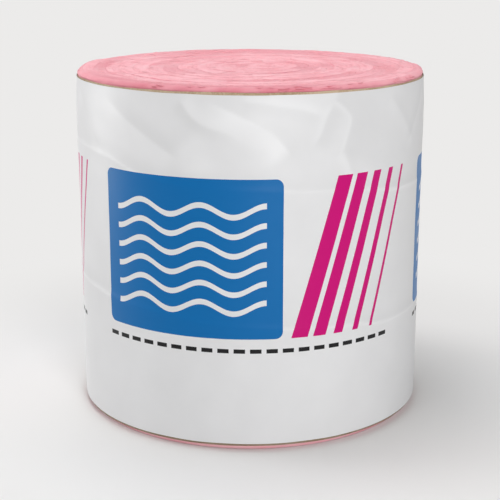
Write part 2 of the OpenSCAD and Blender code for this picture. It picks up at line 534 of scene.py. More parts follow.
def scattered(add, given, near, density, seed, piece, size, spread):
    """Copies of a piece on the upper wool, with X along the turn, give or take an angle, and Z up."""
    place = add(POSITION)
    high = add(COMPARE, [add(SEPARATE, [place]).outputs["Z"], given["Lowest"]])
    kept = add("FunctionNodeBooleanMath", [high, near], "AND")
    scatter = {"Mesh": given["Wool"], "Selection": kept, "Density": density, "Seed": seed}
    points = add("GeometryNodeDistributePointsOnFaces", scatter)
    around = add(VECTOR, [UP, place], "CROSS_PRODUCT")
    along = add("FunctionNodeAlignRotationToVector", {"Vector": around}, axis="X")
    yaw = add(RANDOM, {2: -spread, 3: spread, "Seed": 5})
    turn = add(COMBINE, [0.0, 0.0, yaw])
    turned = add("FunctionNodeRotateRotation", [along, turn], rotation_space="LOCAL")
    copies = {"Points": points, "Instance": piece, "Rotation": turned, "Scale": size}
    return add(REALIZE, [add("GeometryNodeInstanceOnPoints", copies)])


def loose_strand_tree():
    """Loose strands of glass fibre that lie on the upper end of the wool, mostly along the turns."""
    tree, given, add = new_tree(
        "Loose strands",
        Geometry=("Wool",),
        Float=("Strand length", "Strand radius", "Density", "Lowest", "Farthest"),
        Material=("Material",),
    )
    place = add(POSITION)
    inside = add(COMPARE, [given["Farthest"], about_axis(add, place)[0]])
    half = add(MATH, [given["Strand length"], 0.5], "MULTIPLY")
    back = add(MATH, [half, -1.0], "MULTIPLY")
    ends = {"Start": add(COMBINE, [back, 0.0, 0.0]), "End": add(COMBINE, [half, 0.0, 0.0])}
    line = add("GeometryNodeCurvePrimitiveLine", ends)
    strand = add("GeometryNodeResampleCurve", {"Curve": line, "Count": 7})
    lengths = add(RANDOM, {2: SHORTEST, 3: LONGEST_STRAND, "Seed": 3})
    size = add(COMBINE, [lengths, 1.0, 1.0])
    real = scattered(add, given, inside, given["Density"], 11, strand, size, STRAND_SPREAD)
    # Bends lift a strand more often than they press it down
    bends_per_metre = 38.0
    unbent = (0.5, 0.5, 0.42)
    bend_reach = (14 * MM, 14 * MM, 3 * MM)
    bends = add(NOISE, {"Vector": place, "Scale": bends_per_metre, "Detail": 1.0})
    centred = add(VECTOR, [bends.outputs["Color"], unbent], "SUBTRACT")
    bent = add(VECTOR, [centred, bend_reach], "MULTIPLY")
    curled = add(SET_POSITION, {"Geometry": real, "Offset": bent})
    circle = {"Resolution": 3, "Radius": given["Strand radius"]}
    section = add("GeometryNodeCurvePrimitiveCircle", circle)
    swept = {"Curve": curled, "Profile Curve": section, "Fill Caps": True}
    tube = add("GeometryNodeCurveToMesh", swept)
    add(GROUP_OUTPUT, [add(SET_MATERIAL, {"Geometry": tube, "Material": given["Material"]})])
    return tree


def torn_tuft_tree():
    """Torn tufts of wool along the rim, thick in some places and missing in others."""
    tree, given, add = new_tree(
        "Torn tufts",
        Geometry=("Wool",),
        Float=("Tuft length", "Density", "Rim radius", "Lowest"),
        Material=("Material",),
    )
    place = add(POSITION)
    from_axis, outward, _ = about_axis(add, place)
    outside = add(COMPARE, [from_axis, given["Rim radius"]])
    torn_span = (-0.1, 0.7)
    least_torn = 0.03
    facing = add(VECTOR, [outward, TORN_SIDE], "DOT_PRODUCT")
    worn = add(RANGE, [facing, *torn_span, least_torn, 1.0])
    most = add(MATH, [given["Density"], worn], "MULTIPLY")
    patches_per_metre = 9.0
    patch_span = (0.42, 0.62)
    patches = add(NOISE, {"Vector": place, "W": 4.0, "Scale": patches_per_metre}, noise_dimensions="4D")
    torn = add(RANGE, [patches, *patch_span, 0.0, most])
    ball = add("GeometryNodeMeshIcoSphere", {"Subdivisions": 2})
    lengths = add(RANDOM, {2: SHORTEST, 3: 1.0, "Seed": 3})
    long = add(MATH, [lengths, given["Tuft length"]], "MULTIPLY")
    size = add(VECTOR, {0: TUFT_SHAPE, "Scale": long}, "SCALE")
    real = scattered(add, given, outside, torn, 7, ball, size, TUFT_SPREAD)
    rags_per_metre = 210.0
    rag_reach = 3 * MM
    rough = add(NOISE, {"Vector": place, "Scale": rags_per_metre, "Detail": 2.0})
    centred = add(VECTOR, [rough.outputs["Color"], NOISE_MIDDLE], "SUBTRACT")
    ragged = add(VECTOR, {0: centred, "Scale": rag_reach}, "SCALE")
    shaped = add(SET_POSITION, {"Geometry": real, "Offset": ragged})
    smooth = add("GeometryNodeSetShadeSmooth", {"Geometry": shaped})
    add(GROUP_OUTPUT, [add(SET_MATERIAL, {"Geometry": smooth, "Material": given["Material"]})])
    return tree


def glass_wool(name, light, middle, deep):
    """Glass wool, spun in layers along the batt: matte, with soft streaks that run round the roll."""
    material, add = new_material(name)
    place = add(COORDINATES).outputs["Object"]
    from_axis, direction, here = about_axis(add, place)
    depth = add(MATH, [from_axis, here["Z"]], "ADD")

    # Layers are about 8 mm thick and a hand long. Fibres are drawn as 1.6 mm strands so that they show.
    layer = 8 * MM
    fibre = 1.6 * MM
    streaks = []
    for thickness, spread in ((layer, 3.0), (fibre, 9.0)):
        round_roll = add(VECTOR, {0: direction, "Scale": spread}, "SCALE")
        through = add(COMBINE, [0.0, 0.0, add(MATH, [depth, thickness], "DIVIDE")])
        stretched = add(VECTOR, [round_roll, through], "ADD")
        streaks.append(add(NOISE, {"Vector": stretched, "Scale": 1.0, "Detail": 3.0}))
    layers, fibres = streaks
    clouds = add(NOISE, {"Vector": place, "Scale": 1 / (60 * MM), "Detail": 3.0})

    loose_span = (0.8, 1.2)
    looseness = add(RANGE, [add(MATH, [layers, clouds], "ADD"), *loose_span, 0.0, 1.0])
    body = add(MIX, {0: looseness, 6: (*middle, 1.0), 7: (*light, 1.0)}, **COLOUR)
    pressed = add(ATTRIBUTE, attribute_name="pressed").outputs["Fac"]
    # Painted shade: the wool takes its deep colour in its creases and on its shaded rims, and thin layers
    # let some of that colour show
    shade_span = (0.02, 0.38)
    deepest = 0.95
    shaded = add(RANGE, [pressed, *shade_span, 0.0, deepest])
    thin_span = (0.32, 0.46)
    thin_depth = 0.3
    thin = add(RANGE, [layers, *thin_span, thin_depth, 0.0])
    shade = add(MATH, [shaded, thin], "MAXIMUM")
    finish = {
        "Base Color": add(MIX, {0: shade, 6: body, 7: (*deep, 1.0)}, **COLOUR),
        "Normal": add(BUMP, {"Strength": 0.4, "Distance": 0.8 * MM, "Height": fibres}),
        "Roughness": 0.95,
        "Specular IOR Level": 0.15,
        "Sheen Weight": 0.25,
        "Sheen Roughness": 0.6,
        "Sheen Tint": (*light, 1.0),
    }
    add(SURFACE, [add(PRINCIPLED, finish)])
    return material


def kraft_paper(paper, fleck):
    """Unbleached kraft paper with a tar coat inside: dull brown, with darker fibres and faint wrinkles."""
    material, add = new_material("coated_kraft_paper")
    place = add(COORDINATES).outputs["Object"]
    fibres = add(NOISE, {"Vector": place, "Scale": 1 / (2.5 * MM), "Detail": 4.0})
    stains = add(NOISE, {"Vector": place, "Scale": 1 / (45 * MM), "Detail": 2.0})
    fleck_span = (0.85, 1.3)
    most_fleck = 0.9
    share = add(RANGE, [add(MATH, [fibres, stains], "ADD"), *fleck_span, 0.0, most_fleck])
    colour = add(MIX, {0: share, 6: (*paper, 1.0), 7: (*fleck, 1.0)}, **COLOUR)
    # Painted shade: the paper is darker towards its lower edge
    dark_span = (12 * MM, 20 * MM)
    edge_lightness = 0.55
    height = add(SEPARATE, [place]).outputs["Z"]
    shade_lightness = add(RANGE, [height, *dark_span, edge_lightness, 1.0])
    finish = {
        "Base Color": add(MIX, {0: 1.0, 6: colour, 7: shade_lightness}, blend_type="MULTIPLY", **COLOUR),
        "Normal": add(BUMP, {"Strength": 0.3, "Distance": 0.3 * MM, "Height": fibres}),
        "Roughness": 0.82,
    }
    add(SURFACE, [add(PRINCIPLED, finish)])
    return material


# The print, in metres along the film from the front and up from its lower edge. It repeats round the roll.
PRINT_REPEATS = 3
PRINT_START = -280 * MM
PANEL_CENTRE = (-104 * MM, 305 * MM)
PANEL_SIZE = (312 * MM, 256 * MM)
PANEL_CORNER = 12 * MM
WAVE_LENGTH = 104 * MM
WAVE_HEIGHT = 9 * MM
WAVE_SPACING = 31 * MM
WAVE_LINE = 9 * MM
WAVE_COUNT = 6
WAVE_INSET = 26 * MM
BARS_START = 104 * MM
BAR_SPACING = 36 * MM
BAR_COUNT = 5
BAR_WIDEST = 27 * MM
BAR_NARROWEST = 6 * MM
BAR_SLANT = 0.3
DASH_RISE = -148 * MM
DASH_LINE = 7 * MM
DASH_SPACING = 26 * MM
DASH_SHARE = 0.7
DASHES_END = 260 * MM
# How much lighter or darker than its own colour the painted light and shade of its folds and creases make
# the film
LIGHT_AND_SHADE_DEPTH = 0.14
# The film is a little cloudy, in its lightness and in its gloss
CLOUDY_LIGHTNESS = (0.965, 1.0)
CLOUDY_ROUGHNESS = (0.34, 0.46)


def printed_film(film):
    """Blown polyethylene film, white all through and printed in three inks: smooth, with a soft gloss."""
    material, add = new_material("blown_polyethylene_film")
    spot = add(SEPARATE, [add("ShaderNodeUVMap", uv_map="film")])
    repeat = TURN * film.radius / PRINT_REPEATS
    along = add(MATH, [spot.outputs["X"], PRINT_START + repeat, PRINT_START], "WRAP")
    above = add(MATH, [spot.outputs["Y"], PANEL_CENTRE[1]], "SUBTRACT")
    beside = add(MATH, [along, PANEL_CENTRE[0]], "SUBTRACT")

    # The panel: a rectangle with round corners
    centred = add(COMBINE, [beside, above, 0.0])
    mirrored = add(VECTOR, [centred], "ABSOLUTE")
    corner = (PANEL_SIZE[0] / 2 - PANEL_CORNER, PANEL_SIZE[1] / 2 - PANEL_CORNER, 0.0)
    past = add(VECTOR, [mirrored, corner], "SUBTRACT")
    outside = add(VECTOR, [past, (0.0, 0.0, 0.0)], "MAXIMUM")
    gap = add(VECTOR, [outside], "LENGTH")
    panel = add(MATH, [gap, PANEL_CORNER], "LESS_THAN")

    # In the panel: a stack of gentle waves, like the layers of the wool
    phase = add(MATH, [beside, TURN / WAVE_LENGTH], "MULTIPLY")
    sine = add(MATH, [phase], "SINE")
    swayed = add(MATH, [sine, -WAVE_HEIGHT, above], "MULTIPLY_ADD")
    raised = add(MATH, [swayed, WAVE_SPACING / 2], "ADD")
    stacked = add(MATH, [raised, WAVE_SPACING / 2, -WAVE_SPACING / 2], "WRAP")
    line = add(MATH, [stacked, 0.0, WAVE_LINE / 2], "COMPARE")
    stack = add(MATH, [swayed, 0.0, WAVE_COUNT * WAVE_SPACING / 2], "COMPARE")
    edges = add(SEPARATE, [mirrored])
    inset = add(MATH, [edges.outputs["X"], PANEL_SIZE[0] / 2 - WAVE_INSET], "LESS_THAN")
    in_stack = add(MATH, [line, stack], "MULTIPLY")
    waves = add(MATH, [in_stack, inset], "MULTIPLY")
    bare = add(MATH, [1.0, waves], "SUBTRACT")
    field = add(MATH, [panel, bare], "MULTIPLY")

    # Beside the panel: slanting bars that narrow away from it
    slanted = add(MATH, [above, -BAR_SLANT, along], "MULTIPLY_ADD")
    from_first = add(MATH, [slanted, BARS_START], "SUBTRACT")
    count = add(MATH, [from_first, BAR_SPACING], "DIVIDE")
    number = add(MATH, [count], "FLOOR")
    widest = BAR_WIDEST / BAR_SPACING
    narrowest = BAR_NARROWEST / BAR_SPACING
    width = add(RANGE, [number, 0.0, BAR_COUNT - 1.0, widest, narrowest])
    in_bar = add(MATH, [add(MATH, [count], "FRACT"), width], "LESS_THAN")
    from_middle = add(MATH, [number, (BAR_COUNT - 1) / 2, BAR_COUNT / 2], "COMPARE")
    tall = add(MATH, [edges.outputs["Y"], PANEL_SIZE[1] / 2], "LESS_THAN")
    bars = add(MATH, [add(MATH, [in_bar, from_middle], "MULTIPLY"), tall], "MULTIPLY")

    # Below both: a row of dark dashes
    dashes = add(MATH, [above, DASH_RISE, DASH_LINE / 2], "COMPARE")
    from_start = add(MATH, [beside, PANEL_SIZE[0] / 2], "ADD")
    step = add(MATH, [add(MATH, [from_start, DASH_SPACING], "DIVIDE")], "FRACT")
    dash = add(MATH, [step, DASH_SHARE], "LESS_THAN")
    begun = add(MATH, [from_start, 0.0], "GREATER_THAN")
    going = add(MATH, [along, DASHES_END], "LESS_THAN")
    for limit in (dash, begun, going):
        dashes = add(MATH, [dashes, limit], "MULTIPLY")

    place = add(COORDINATES).outputs["Object"]
    haze = add(NOISE, {"Vector": place, "Scale": 1 / (70 * MM), "Detail": 3.0})
    cloudy = add(RANGE, [haze, *NOISE_SPAN, *CLOUDY_LIGHTNESS])
    # Painted light and shade: the film is whiter or greyer than its own colour beside its folds and
    # creases
    light_and_shade = add(ATTRIBUTE, attribute_name="light_and_shade").outputs["Fac"]
    lightness = add(MATH, [light_and_shade, LIGHT_AND_SHADE_DEPTH, 1.0], "MULTIPLY_ADD")
    shade = add(MATH, [cloudy, lightness], "MULTIPLY")
    colour = add(MIX, {0: 1.0, 6: (*film.white, 1.0), 7: shade}, blend_type="MULTIPLY", **COLOUR)
    for mask, ink in ((field, film.blue), (bars, film.magenta), (dashes, film.dark)):
        colour = add(MIX, {0: mask, 6: colour, 7: (*ink, 1.0)}, **COLOUR)
    grain = add(NOISE, {"Vector": place, "Scale": 1 / (9 * MM), "Detail": 2.0})
    finish = {
        "Base Color": colour,
        "Normal": add(BUMP, {"Strength": 0.12, "Distance": 0.5 * MM, "Height": grain}),
        "Roughness": add(RANGE, [haze, *NOISE_SPAN, *CLOUDY_ROUGHNESS]),
        "IOR": 1.5,
        "Specular IOR Level": 0.25,
    }
    add(SURFACE, [add(PRINCIPLED, finish)])
    return material


# How fast the wave of a sheet's edge dies out away from it, and the angle from which an edge is sharp
WAVE_FALLOFF = 8
SHARP_ANGLE = math.radians(50)


def thin_sheet(name, bearings, heights, radii, foot_wave, top_wave, thickness):
    """A closed thin shell from its outer surface, given as a radius for each height and bearing.

    Its UV map, named film, is in metres: along the sheet from the front, and up from its lower edge.
    """
    rows, columns = radii.shape
    angle = np.radians(bearings)[None, :]
    rise = np.broadcast_to(heights[:, None], radii.shape)
    share = ((heights - heights[0]) / (heights[-1] - heights[0]))[:, None]
    foot_share = (1 - share) ** WAVE_FALLOFF
    top_share = share**WAVE_FALLOFF
    lifted = rise + foot_share * foot_wave[None, :] + top_share * top_wave[None, :]
    sides = []
    for inset in (0.0, thickness):
        radius = radii - inset
        side = np.stack([radius * np.sin(angle), -radius * np.cos(angle), lifted], axis=2)
        sides.append(side.reshape(-1, 3))
    points = np.concatenate(sides)

    inner = rows * columns
    index = np.arange(inner).reshape(rows, columns)
    corners = [index[:-1, :-1], index[:-1, 1:], index[1:, 1:], index[1:, :-1]]
    quads = np.stack(corners, axis=2).reshape(-1, 4)
    loop = np.concatenate([index[0, :-1], index[:-1, -1], index[-1, :0:-1], index[:0:-1, 0]])
    ahead = np.roll(loop, -1)
    rim = np.stack([loop, loop + inner, ahead + inner, ahead], axis=1)
    faces = np.concatenate([quads, quads[:, ::-1] + inner, rim])

    mesh = bpy.data.meshes.new(name)
    mesh.from_pydata(points.tolist(), [], faces.tolist())
    mean_radius = float(radii.mean())
    along = np.broadcast_to(angle * mean_radius, radii.shape)
    one_side = np.stack([along, rise - heights[0]], axis=2).reshape(-1, 2)
    places = np.concatenate([one_side, one_side])
    users = np.zeros(len(mesh.loops), np.int32)
    mesh.loops.foreach_get("vertex_index", users)
    mesh.uv_layers.new(name="film").data.foreach_set("uv", places[users].astype(np.float32).ravel())
    mesh.shade_smooth()
    mesh.set_sharp_from_angle(angle=SHARP_ANGLE)
    return mesh


class Fold(NamedTuple):
    """A crisp fold in the film, listed from its upper end. A negative rise is a valley.

    Its crest is a line of (bearing, height in mm). The film runs out below and above the crest over a
    length, and carries painted light and shade below and above it, whiter or greyer than its own colour
    (tones from -1 to 1). It rises from its upper end and runs out to its lower end over two shares of its
    length.
    """

    crest: tuple
    rise: float
    below: float
    above: float
    painted_tones: tuple
    ends: tuple


# Tension folds fan out under the film's upper edge
FOLDS = (
    Fold(
        ((-53, 563), (-48, 549), (-41, 528), (-33.5, 506), (-26.5, 485), (-21, 470)),
        0.9 * MM, 40 * MM, 22 * MM, (0.4, -0.5), (0.3, 0.15),
    ),
    Fold(
        ((-21.5, 566), (-19, 547), (-17, 535), (-13.5, 524), (-6, 514), (-3, 502), (2.5, 490)),
        -0.5 * MM, 17 * MM, 20 * MM, (-0.5, 0.45), (0.1, 0.7),
    ),
    Fold(
        ((-21, 508), (-18, 488), (-16, 465), (-15, 438)),
        0.4 * MM, 26 * MM, 30 * MM, (0.4, 0.4), (0.3, 0.3),
    ),
    Fold(
        ((-15, 568), (-7, 551), (-2, 539), (3, 527), (7, 514), (11, 489), (13, 474)),
        2.0 * MM, 37 * MM, 22 * MM, (1.0, -0.1), (0.35, 0.15),
    ),
    Fold(
        ((-3, 564), (3.5, 560), (9, 555), (15, 550), (20, 542), (23, 532)),
        0.8 * MM, 16 * MM, 14 * MM, (-0.2, 0.35), (0.1, 0.2),
    ),
    Fold(
        ((26, 559), (24.5, 547), (23, 535), (21.5, 511), (18.5, 488)),
        0.6 * MM, 10 * MM, 27 * MM, (0.25, -0.5), (0.2, 0.3),
    ),
    Fold(
        ((25, 563), (27, 558), (30, 545), (32, 532), (30.5, 508), (29, 484), (27.5, 469)),
        1.0 * MM, 5 * MM, 70 * MM, (0.3, -0.55), (0.1, 0.2),
    ),
    Fold(
        ((29, 484), (31, 459), (33, 438), (38, 419)),
        0.8 * MM, 16 * MM, 16 * MM, (0.4, -0.2), (0.1, 0.2),
    ),
    Fold(
        ((48, 560), (56, 520), (64, 470)),
        0.6 * MM, 20 * MM, 16 * MM, (0.2, -0.2), (0.1, 0.2),
    ),
)
# The same pull shows at three places round the roll: bearing of each, and which way its folds lean
PULLS = ((0, 1), (122, -1), (-119, 1))
# Half the width of a fold's round crest
CREST_ROUND = 1.8 * MM
# Two long creases run right round the film, as lines of (bearing, height in mm, strength)
CREASES = (
    (
        (-190, 441, 0.4), (-150, 456, 0.6), (-110, 472, 0.5), (-67, 470, 0.6), (-54, 464, 0.7),
        (-48, 461, 0.8), (-39, 447, 0.8), (-32, 437, 1.0), (-23, 432, 0.9), (-14, 430, 0.7), (3, 427, 0.5),
        (30, 420, 0.35), (36, 419, 0.4), (55, 403, 1.0), (100, 408, 0.6), (150, 430, 0.5), (190, 440, 0.4),
    ),
    (
        (-190, 214, 0.5), (-140, 230, 0.4), (-100, 241, 0.8), (-63, 235, 1.0), (-50, 229, 0.9),
        (-39, 225, 1.0), (-22, 219, 1.0), (-14, 212, 0.8), (10, 205, 0.5), (37, 197, 0.6), (46, 186, 0.7),
        (80, 188, 0.5), (130, 201, 0.7), (190, 212, 0.5),
    ),
)
# Above a crease the film falls back steeply, and below it slowly
CREASE_RISE = 1.1 * MM
CREASE_ABOVE = 4 * MM
CREASE_BELOW = 26 * MM
# Painted highlight along a crease's crest, and painted shade above it
CREST_HIGHLIGHT = 0.8
CREST_HALF_WIDTH = 2.4 * MM
ABOVE_SHADE = -0.5
SHADE_REACH = 20 * MM
# Between the folds the film is slack, most of all near its upper edge, in shallow waves that lean
SLACK_WIDTH = 42 * MM
SLACK_LENGTH = 190 * MM
SLACK_LEAN = (0.43, 0.9)
SLACK_RISE = 0.9 * MM
SLACK_SHARE = 0.35
SLACK_START = 380 * MM
SLACK_FADE = 120 * MM
SLACK_LEAST = 0.25
# Over this height the film comes back to the paper, on which its upper edge lies
EDGE_HOLD = 50 * MM
# How far in it is drawn there, except near the lap at the back, from one bearing to another
EDGE_DRAWN = 0.7 * MM
LAP_NEAR = 125
LAP_REACHED = 165
# A sheet's edges wave gently
EDGE_WAVES_PER_DEGREE = 0.11


def beside_line(along, up, points):
    """How far each spot is from a line of points, positive on its left, and its share of the line."""
    nearest = np.full(np.broadcast(along, up).shape, np.inf)
    off = np.zeros_like(nearest)
    share = np.zeros_like(nearest)
    total = sum(math.dist(a, b) for a, b in zip(points, points[1:]))
    passed = 0.0
    for first, last in zip(points, points[1:]):
        run = (last[0] - first[0], last[1] - first[1])
        length = math.hypot(*run)
        part = np.clip(((along - first[0]) * run[0] + (up - first[1]) * run[1]) / length**2, 0, 1)
        aside = along - first[0] - part * run[0]
        over = up - first[1] - part * run[1]
        gap = np.hypot(aside, over)
        nearer = gap < nearest
        off = np.where(nearer, gap * np.sign(run[0] * over - run[1] * aside), off)
        share = np.where(nearer, (passed + part * length) / total, share)
        nearest = np.minimum(nearest, gap)
        passed += length
    return off, share


def rounded(points):
    """A line of points with its corners cut twice, so that it bends smoothly."""
    for _ in range(2):
        cut = [points[0]]
        for first, last in zip(points, points[1:]):
            for share in (0.25, 0.75):
                cut.append(tuple(a + share * (b - a) for a, b in zip(first, last)))
        points = [*cut, points[-1]]
    return points


def eased(value):
    """A smooth step from 0 to 1."""
    held = np.clip(value, 0, 1)
    return held * held * (3 - 2 * held)


def slack_wave(along, height):
    """The slack film's own wave at a place."""
    across, down = SLACK_LEAN
    width = (across * along + down * height) / SLACK_WIDTH
    length = (down * along - across * height) / SLACK_LENGTH
    return noise.noise(Vector((width, length, 3.0)))


def film_relief(bearings, heights, radius):
    """How far the film stands off its roll, and its painted light and shade, for each height and bearing.
    """
    along = np.radians(bearings)[None, :] * radius
    up = heights[:, None]
    relief = np.zeros((len(heights), len(bearings)))
    light_and_shade = np.zeros_like(relief)
    for centre, lean in PULLS:
        for fold in FOLDS:
            crest = rounded(fold.crest)
            points = [(math.radians(centre + lean * b) * radius, h * MM) for b, h in crest]
            off, share = beside_line(along, up, points)
            above = lean * off > 0
            run = np.hypot(off, CREST_ROUND)
            reach = np.where(above, fold.above, fold.below)
            hold = eased(share / fold.ends[0]) * eased((1 - share) / fold.ends[1])
            side = 0.5 + 0.5 * lean * off / run
            relief += fold.rise * hold * np.exp((CREST_ROUND - run) / reach)
            # Painted light and shade beside the fold, from its two tones
            both = fold.painted_tones[0] + (fold.painted_tones[1] - fold.painted_tones[0]) * side
            light_and_shade += both * hold * np.exp(-(np.abs(off / reach) ** 3))
    for crease in CREASES:
        line = rounded(crease)
        points = [(math.radians(bearing) * radius, height * MM) for bearing, height, _ in line]
        off, _ = beside_line(along, up, points)
        hold = np.interp(bearings, [spot[0] for spot in line], [spot[2] for spot in line])[None, :]
        run = np.hypot(off, CREST_ROUND)
        reach = np.where(off > 0, CREASE_ABOVE, CREASE_BELOW)
        relief += CREASE_RISE * hold * np.exp((CREST_ROUND - run) / reach)
        # Painted highlight along the crease's crest, and painted shade above it
        light_and_shade += CREST_HIGHLIGHT * hold * np.exp(-((off / CREST_HALF_WIDTH) ** 2))
        light_and_shade += ABOVE_SHADE * hold * (0.5 + 0.5 * off / run) * np.exp(-((off / SHADE_REACH) ** 2))
    slack = np.array([[slack_wave(a, h) for a in along[0]] for h in heights])
    loose = np.clip((heights - SLACK_START) / SLACK_FADE, SLACK_LEAST, 1)[:, None]
    relief += SLACK_RISE * loose * np.clip(SLACK_SHARE + slack, 0, None)
    held = eased((heights[-1] - heights) / EDGE_HOLD)[:, None]
    drawn = EDGE_DRAWN * eased((LAP_REACHED - np.abs(bearings)) / (LAP_REACHED - LAP_NEAR))[None, :]
    return relief * held - drawn * (1 - held), np.clip(light_and_shade, -1, 1)


def edge_wave(bearings, reach, seed):
    """A gentle wave along a sheet's edge."""
    spots = [Vector((b * EDGE_WAVES_PER_DEGREE, seed, 0.5)) for b in bearings]
    return np.array([reach * noise.noise(spot) for spot in spots])


def graded(stops, end):
    """Values up to an end, evenly spaced from each stop to the next, with a count for each stretch."""
    starts = [stop for stop, count in stops]
    stretches = zip(stops, starts[1:] + [end])
    steps = [np.linspace(start, finish, count, endpoint=False) for (start, count), finish in stretches]
    return np.append(np.concatenate(steps), end)


# The film's mesh is fine at the front, and at the heights of its folds and creases, as (start, count)
FILM_BEARINGS = ((-190, 82), (-84, 290), (84, 82))
FILM_ROWS_ABOVE_FOOT = ((183, 18), (243, 15), (393, 55))
FILM_ROWS_AT_FOOT = 14
# The facing's mesh is fine along both edges, as (first share of its height, last share, count)
FACING_ROWS = ((0, 0.06, 8), (0.1, 0.9, 9), (0.94, 1, 8))
FACING_COLUMNS = 420
# Bearing where the facing's lapped end starts, at the back of the roll
FACING_START = -140
# The wool hangs farther over the facing at both sides, where the facing's upper edge dips
SIDE_DIP = 1.6 * MM
# Above the film the facing is a little crumpled
CRUMPLE = 0.35 * MM
CRUMPLES_PER_DEGREE = 0.35
CRUMPLES_PER_METRE = 60
# A lapped sheet climbs by about its CAD thickness and clearance in one turn
LAP_CLIMB = 0.9 * MM


class INSULATION_OT_wool(bpy.types.Operator):
    """Make the wound wool, with its turns showing on both ends"""

    bl_idname = "insulation.wool"
    bl_label = "Wound wool"

    def execute(self, context):
        wool = context.scene.insulation_wool
        pitch = math.pi * WOOL_HIGH.x**2 / wool.batt_length
        sizes = (*ROLL_SIZES, *TURN_SIZES)
        values = {label: getattr(wool, label.lower().replace(" ", "_")) for label in sizes}
        values["Turn pitch"] = pitch
        values["Turns"] = math.ceil(wool.radius / pitch) + 1
        values["Seed"] = WOOL_SEED
        values["Material"] = glass_wool("spun_glass_wool", wool.light, wool.middle, wool.deep)
        mesh = grown_mesh("wound_wool", wound_roll_tree(), values)
        piece = show_piece("wound_wool", mesh)
        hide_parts("wool_roll")
        return {"FINISHED"}


class INSULATION_OT_loose_wool(bpy.types.Operator):
    """Lay loose strands and torn tufts on the wool"""

    bl_idname = "insulation.loose_wool"
    bl_label = "Loose strands and tufts"

    def execute(self, context):
        wool = context.scene.insulation_wool
        fibres = context.scene.insulation_fibres
        base = bpy.data.objects["wound_wool"].data
        strands = {
            "Strand length": fibres.strand_length,
            "Strand radius": fibres.strand_radius,
            "Density": fibres.strand_density,
            "Lowest": wool.height - wool.shoulder_height,
            "Farthest": wool.radius - STRAND_INSET * wool.shoulder_width,
            "Material": glass_wool("loose_glass_fibre", wool.light, wool.light, wool.middle),
        }
        mesh = grown_mesh("loose_strands", loose_strand_tree(), strands, base.copy())
        show_piece("loose_strands", mesh)
        tufts = {
            "Tuft length": fibres.tuft_length,
            "Density": fibres.tuft_density,
            "Rim radius": wool.radius - wool.shoulder_width,
            "Lowest": wool.height - TUFT_DROP * wool.shoulder_height,
            "Material": base.materials[0],
        }
        mesh = grown_mesh("torn_tufts", torn_tuft_tree(), tufts, base.copy())
        show_piece("torn_tufts", mesh)
        return {"FINISHED"}


class INSULATION_OT_facing(bpy.types.Operator):
    """Make the kraft facing round the wool"""

    bl_idname = "insulation.facing"
    bl_label = "Kraft facing"

    def execute(self, context):
        facing = context.scene.insulation_facing
        sweep = 360 + math.degrees(facing.lap / facing.radius)
        bearings = FACING_START + np.linspace(0, sweep, FACING_COLUMNS)
        share = np.concatenate([np.linspace(*stretch) for stretch in FACING_ROWS])
        heights = facing.foot + share * (facing.top - facing.foot)
        climb = LAP_CLIMB * (bearings - bearings.mean()) / 360
        radii = facing.radius + np.tile(climb, (len(heights), 1))
        for row, height in enumerate(heights):
            if height > FILM_HIGH.z:
                level = height * CRUMPLES_PER_METRE
                spots = [Vector((b * CRUMPLES_PER_DEGREE, level, 9.0)) for b in bearings]
                radii[row] += [CRUMPLE * noise.noise(spot) for spot in spots]
        dip = SIDE_DIP * np.sin(np.radians(bearings)) ** 2
        mesh = thin_sheet(
            "kraft_sheet",
            bearings,
            heights,
            radii,
            edge_wave(bearings, reach=0.5 * MM, seed=2.0),
            edge_wave(bearings, reach=1.0 * MM, seed=6.0) - dip,
            facing.thickness,
        )
        mesh.materials.append(kraft_paper(facing.paper, facing.fleck))
        piece = show_piece("kraft_sheet", mesh)
        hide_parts("kraft_facing")
        return {"FINISHED"}


class INSULATION_OT_film(bpy.types.Operator):
    """Make the printed film wrap with its folds"""

    bl_idname = "insulation.film"
    bl_label = "Film wrap"

    def execute(self, context):
        film = context.scene.insulation_film
        sweep = 360 + math.degrees(film.lap / film.radius)
        bearings = graded(FILM_BEARINGS, FILM_BEARINGS[0][0] + sweep)
        rows = [(height * MM, count) for height, count in FILM_ROWS_ABOVE_FOOT]
        heights = graded([(film.foot, FILM_ROWS_AT_FOOT), *rows], film.top)
        climb = LAP_CLIMB * bearings / 360
        relief, light_and_shade = film_relief(bearings, heights, film.radius)
        mesh = thin_sheet(
            "film_sheet",
            bearings,
            heights,
            film.radius + climb[None, :] + relief,
            edge_wave(bearings, reach=0.4 * MM, seed=1.0),
            edge_wave(bearings, reach=0.5 * MM, seed=4.0),
            film.thickness,
        )
        # The painted light and shade goes on both sides of the sheet
        both_sides = np.concatenate([light_and_shade.ravel(), light_and_shade.ravel()]).astype(np.float32)
        mesh.attributes.new("light_and_shade", "FLOAT", "POINT").data.foreach_set("value", both_sides)
        mesh.materials.append(printed_film(film))
        piece = show_piece("film_sheet", mesh)
        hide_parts("film_wrap")
        return {"FINISHED"}


class Softbox(NamedTuple):
    """A soft lamp that faces the roll: its place, its width and height, and its power in watts."""

    name: str
    place: tuple
    size: tuple
    power: float


SOFTBOXES = (
    Softbox("softbox_front", (0.8, -3.0, 1.2), (1.0, 1.6), 56),
    Softbox("softbox_left", (-2.85, 0.6, 0.65), (1.5, 1.5), 46),
    Softbox("softbox_top", (-0.4, 0.35, 3.2), (1.8, 1.8), 53),
    Softbox("softbox_right", (2.9, 0.3, 1.2), (1.5, 1.5), 8),
)
AMBIENT = 0.18
FLOOR_REACH = 40.0
# Away from the roll the floor fades into an even backdrop
FADE_START = 0.3
FADE_END = 1.0
# Share of the floor's light that reaches the roll, as in a studio with a dark floor round the white one
FLOOR_BOUNCE = 0.5


def seen_directly(add):
    """1 where a surface is seen, directly, mirrored or through glass, and 0 where it only gives light."""
    path = add("ShaderNodeLightPath").outputs
    glossy = add(MATH, [path["Is Camera Ray"], path["Is Glossy Ray"]], "MAXIMUM")
    return add(MATH, [glossy, path["Is Transmission Ray"]], "MAXIMUM")


